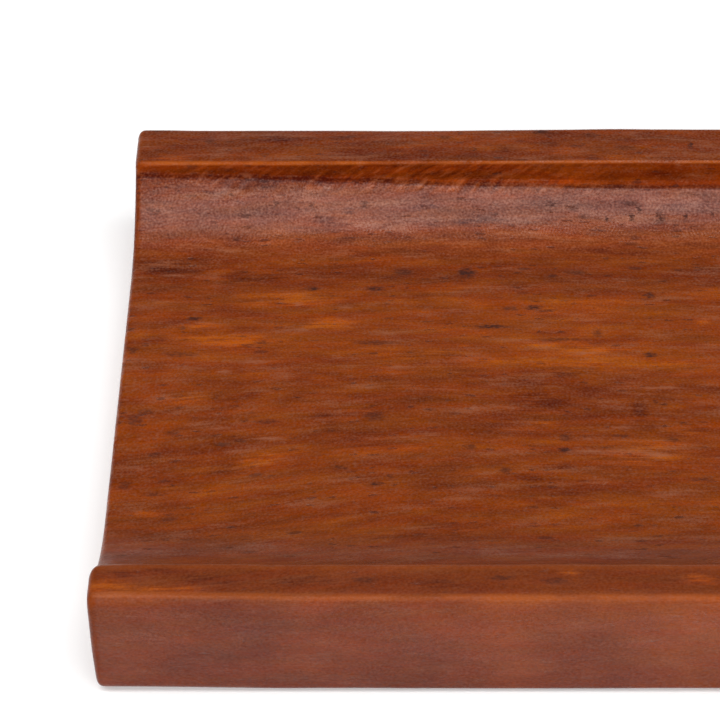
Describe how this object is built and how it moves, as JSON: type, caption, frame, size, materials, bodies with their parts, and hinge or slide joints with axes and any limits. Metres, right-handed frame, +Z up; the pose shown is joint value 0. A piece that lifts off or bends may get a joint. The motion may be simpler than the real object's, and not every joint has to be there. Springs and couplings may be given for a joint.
{
  "type": "pen tray",
  "caption": "Low solid hardwood pen tray: one open channel with upright lips, hollow coves and a flat floor between a narrow front rim and a wider back rim, on sunken felt pads.",
  "frame": {"origin": "middle of the footprint, on the surface that the tray stands on", "axes": "+X along the channel to the right, +Y from the front rim to the back rim, +Z up"},
  "size_m": [0.24, 0.08, 0.0143],
  "materials": {
    "wood": "oiled satin",
    "felt": "felted wool"
  },
  "bodies": {
    "root": {"tray": "wood", "pad_front_left": "felt", "pad_front_right": "felt", "pad_back_left": "felt", "pad_back_right": "felt"}
  },
  "joints": []
}
